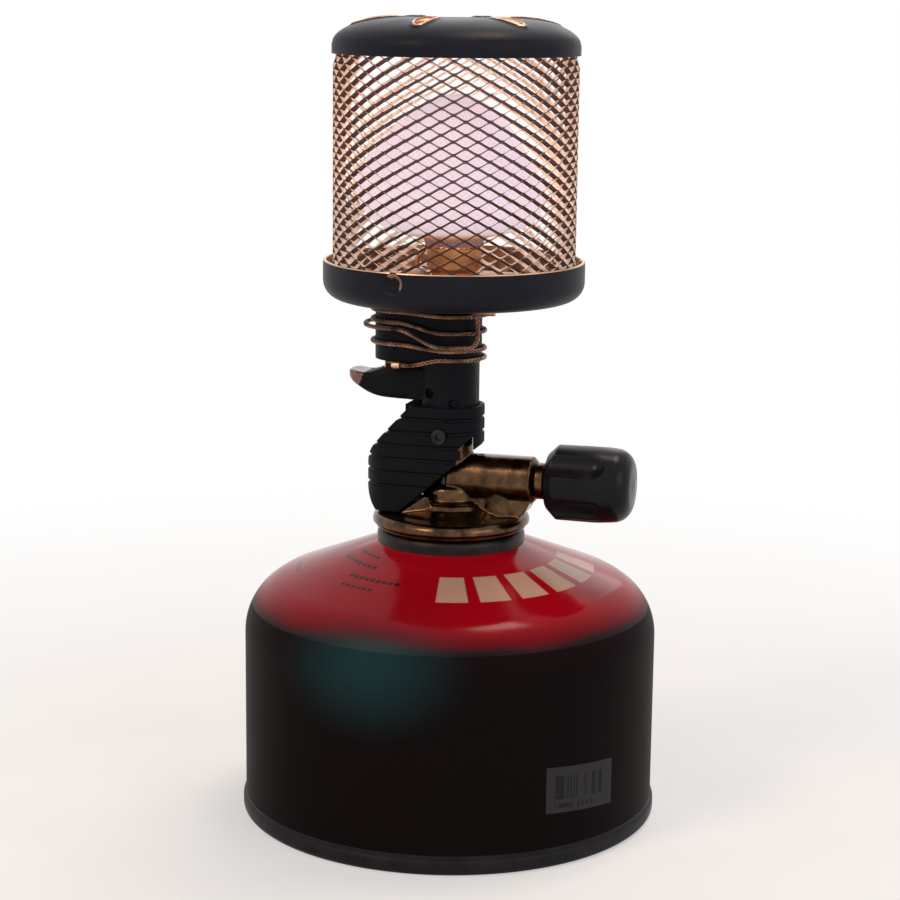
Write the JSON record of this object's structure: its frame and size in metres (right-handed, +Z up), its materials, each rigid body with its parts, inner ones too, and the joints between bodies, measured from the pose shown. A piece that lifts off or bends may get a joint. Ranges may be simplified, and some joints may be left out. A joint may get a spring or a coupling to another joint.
{
  "type": "gas lantern",
  "caption": "Compact gas lantern with a mantle in a mesh globe, a lever igniter and a ribbed control knob, screwed onto a small gas cartridge.",
  "frame": {"origin": "middle of the cartridge's standing ring, on the ground", "axes": "+Z up along the lantern's axis, +X along the valve barrel towards the knob, igniter lever towards -X"},
  "size_m": [0.0912, 0.0912, 0.1723],
  "materials": {
    "can_lacquer": "glossy printed lacquer, red shoulder over a near-black side",
    "tinplate": "satin tinplate",
    "valve_plastic": "smooth white plastic",
    "rubber": "black rubber",
    "spring_steel": "drawn wire",
    "brass": "satin machined brass, slightly tarnished",
    "bright_brass": "turned brass",
    "knob_plastic": "black, slightly glossy moulded plastic",
    "housing_plastic": "black moulded plastic",
    "screw_steel": "dark zinc-plated steel",
    "piezo_plastic": "black plastic with brass contacts",
    "lead_sleeve": "silicone-insulated lead",
    "stainless": "heat-tinted stainless steel",
    "pan_enamel": "black heat-resistant paint",
    "ceramic": "glazed white ceramic",
    "mantle_ash": "burnt-in oxide net, white and glowing",
    "mesh_steel": "dark oxidised expanded steel",
    "cap_enamel": "black heat-resistant paint",
    "wire_strands": "stranded steel wire, tarnished"
  },
  "bodies": {
    "cartridge": {"cartridge_shell": "can_lacquer", "cartridge_base": "tinplate", "valve_cup": "tinplate", "cartridge_valve_housing": "valve_plastic", "cartridge_gasket": "rubber", "cartridge_valve_spring": "spring_steel"},
    "valve_stem": {"cartridge_valve_stem": "valve_plastic"},
    "head_rise": {"inlet_seal": "rubber"},
    "head": {"valve_body": "brass", "inlet_pin": "bright_brass", "gland_bush": "brass", "jet": "bright_brass", "grip_front": "housing_plastic", "grip_rear": "housing_plastic", "housing_screws": "screw_steel", "neck_housing": "housing_plastic", "piezo_unit": "piezo_plastic", "ignition_lead": "lead_sleeve", "mixing_tube": "bright_brass", "base_pan": "pan_enamel", "pan_nut": "bright_brass", "pan_screw": "screw_steel", "burner_head": "stainless", "mantle": "mantle_ash", "electrode_insulator": "ceramic", "spark_electrode": "stainless", "suspension_wire": "wire_strands", "wire_anchor": "screw_steel", "wire_ferrule": "screw_steel"},
    "spindle_travel": {"spindle_seal": "rubber"},
    "knob": {"control_knob": "knob_plastic", "valve_spindle": "bright_brass"},
    "trigger": {"igniter_trigger": "housing_plastic"},
    "plunger": {"piezo_plunger": "valve_plastic"},
    "globe": {"mesh_globe": "mesh_steel", "globe_cap": "cap_enamel"}
  },
  "joints": [
    {"name": "head_rise", "type": "slide", "parent": "cartridge", "child": "head_rise", "axis": [0, 0, 1], "range_m": [0, 0.0041]},
    {"name": "head_unscrew", "type": "hinge", "parent": "head_rise", "child": "head", "pos_m": [0, 0, 0.06488], "axis": [0, 0, 1], "range_deg": [0, 1620]},
    {"name": "stem_rise", "type": "slide", "parent": "cartridge", "child": "valve_stem", "axis": [0, 0, 1], "range_m": [0, 0.00125], "deforming": ["cartridge_valve_spring"]},
    {"name": "spindle_travel", "type": "slide", "parent": "head", "child": "spindle_travel", "axis": [1, 0, 0], "range_m": [-0.000376, 0.000376]},
    {"name": "knob_turn", "type": "hinge", "parent": "spindle_travel", "child": "knob", "pos_m": [0.03, 0, 0.07448], "axis": [1, 0, 0], "range_deg": [-270, 270]},
    {"name": "trigger_press", "type": "hinge", "parent": "head", "child": "trigger", "pos_m": [0.0018, 0, 0.09118], "axis": [0, -1, 0], "range_deg": [0, 15], "stiffness_Nm_per_rad": 0.5, "springref_deg": -11.46},
    {"name": "plunger_press", "type": "slide", "parent": "head", "child": "plunger", "axis": [0, 0, -1], "range_m": [0, 0.0031]},
    {"name": "globe_lift", "type": "slide", "parent": "head", "child": "globe", "axis": [0, 0, 1], "range_m": [0, 0.06]}
  ],
  "couplings": [
    {"joint": "head_rise", "follows": "head_unscrew", "m_per_rad": 0.00014435},
    {"joint": "stem_rise", "follows": "head_unscrew", "m_per_rad": 0.000044165},
    {"joint": "spindle_travel", "follows": "knob_turn", "m_per_rad": 0.000079577},
    {"joint": "plunger_press", "follows": "trigger_press", "m_per_rad": 0.0117}
  ]
}
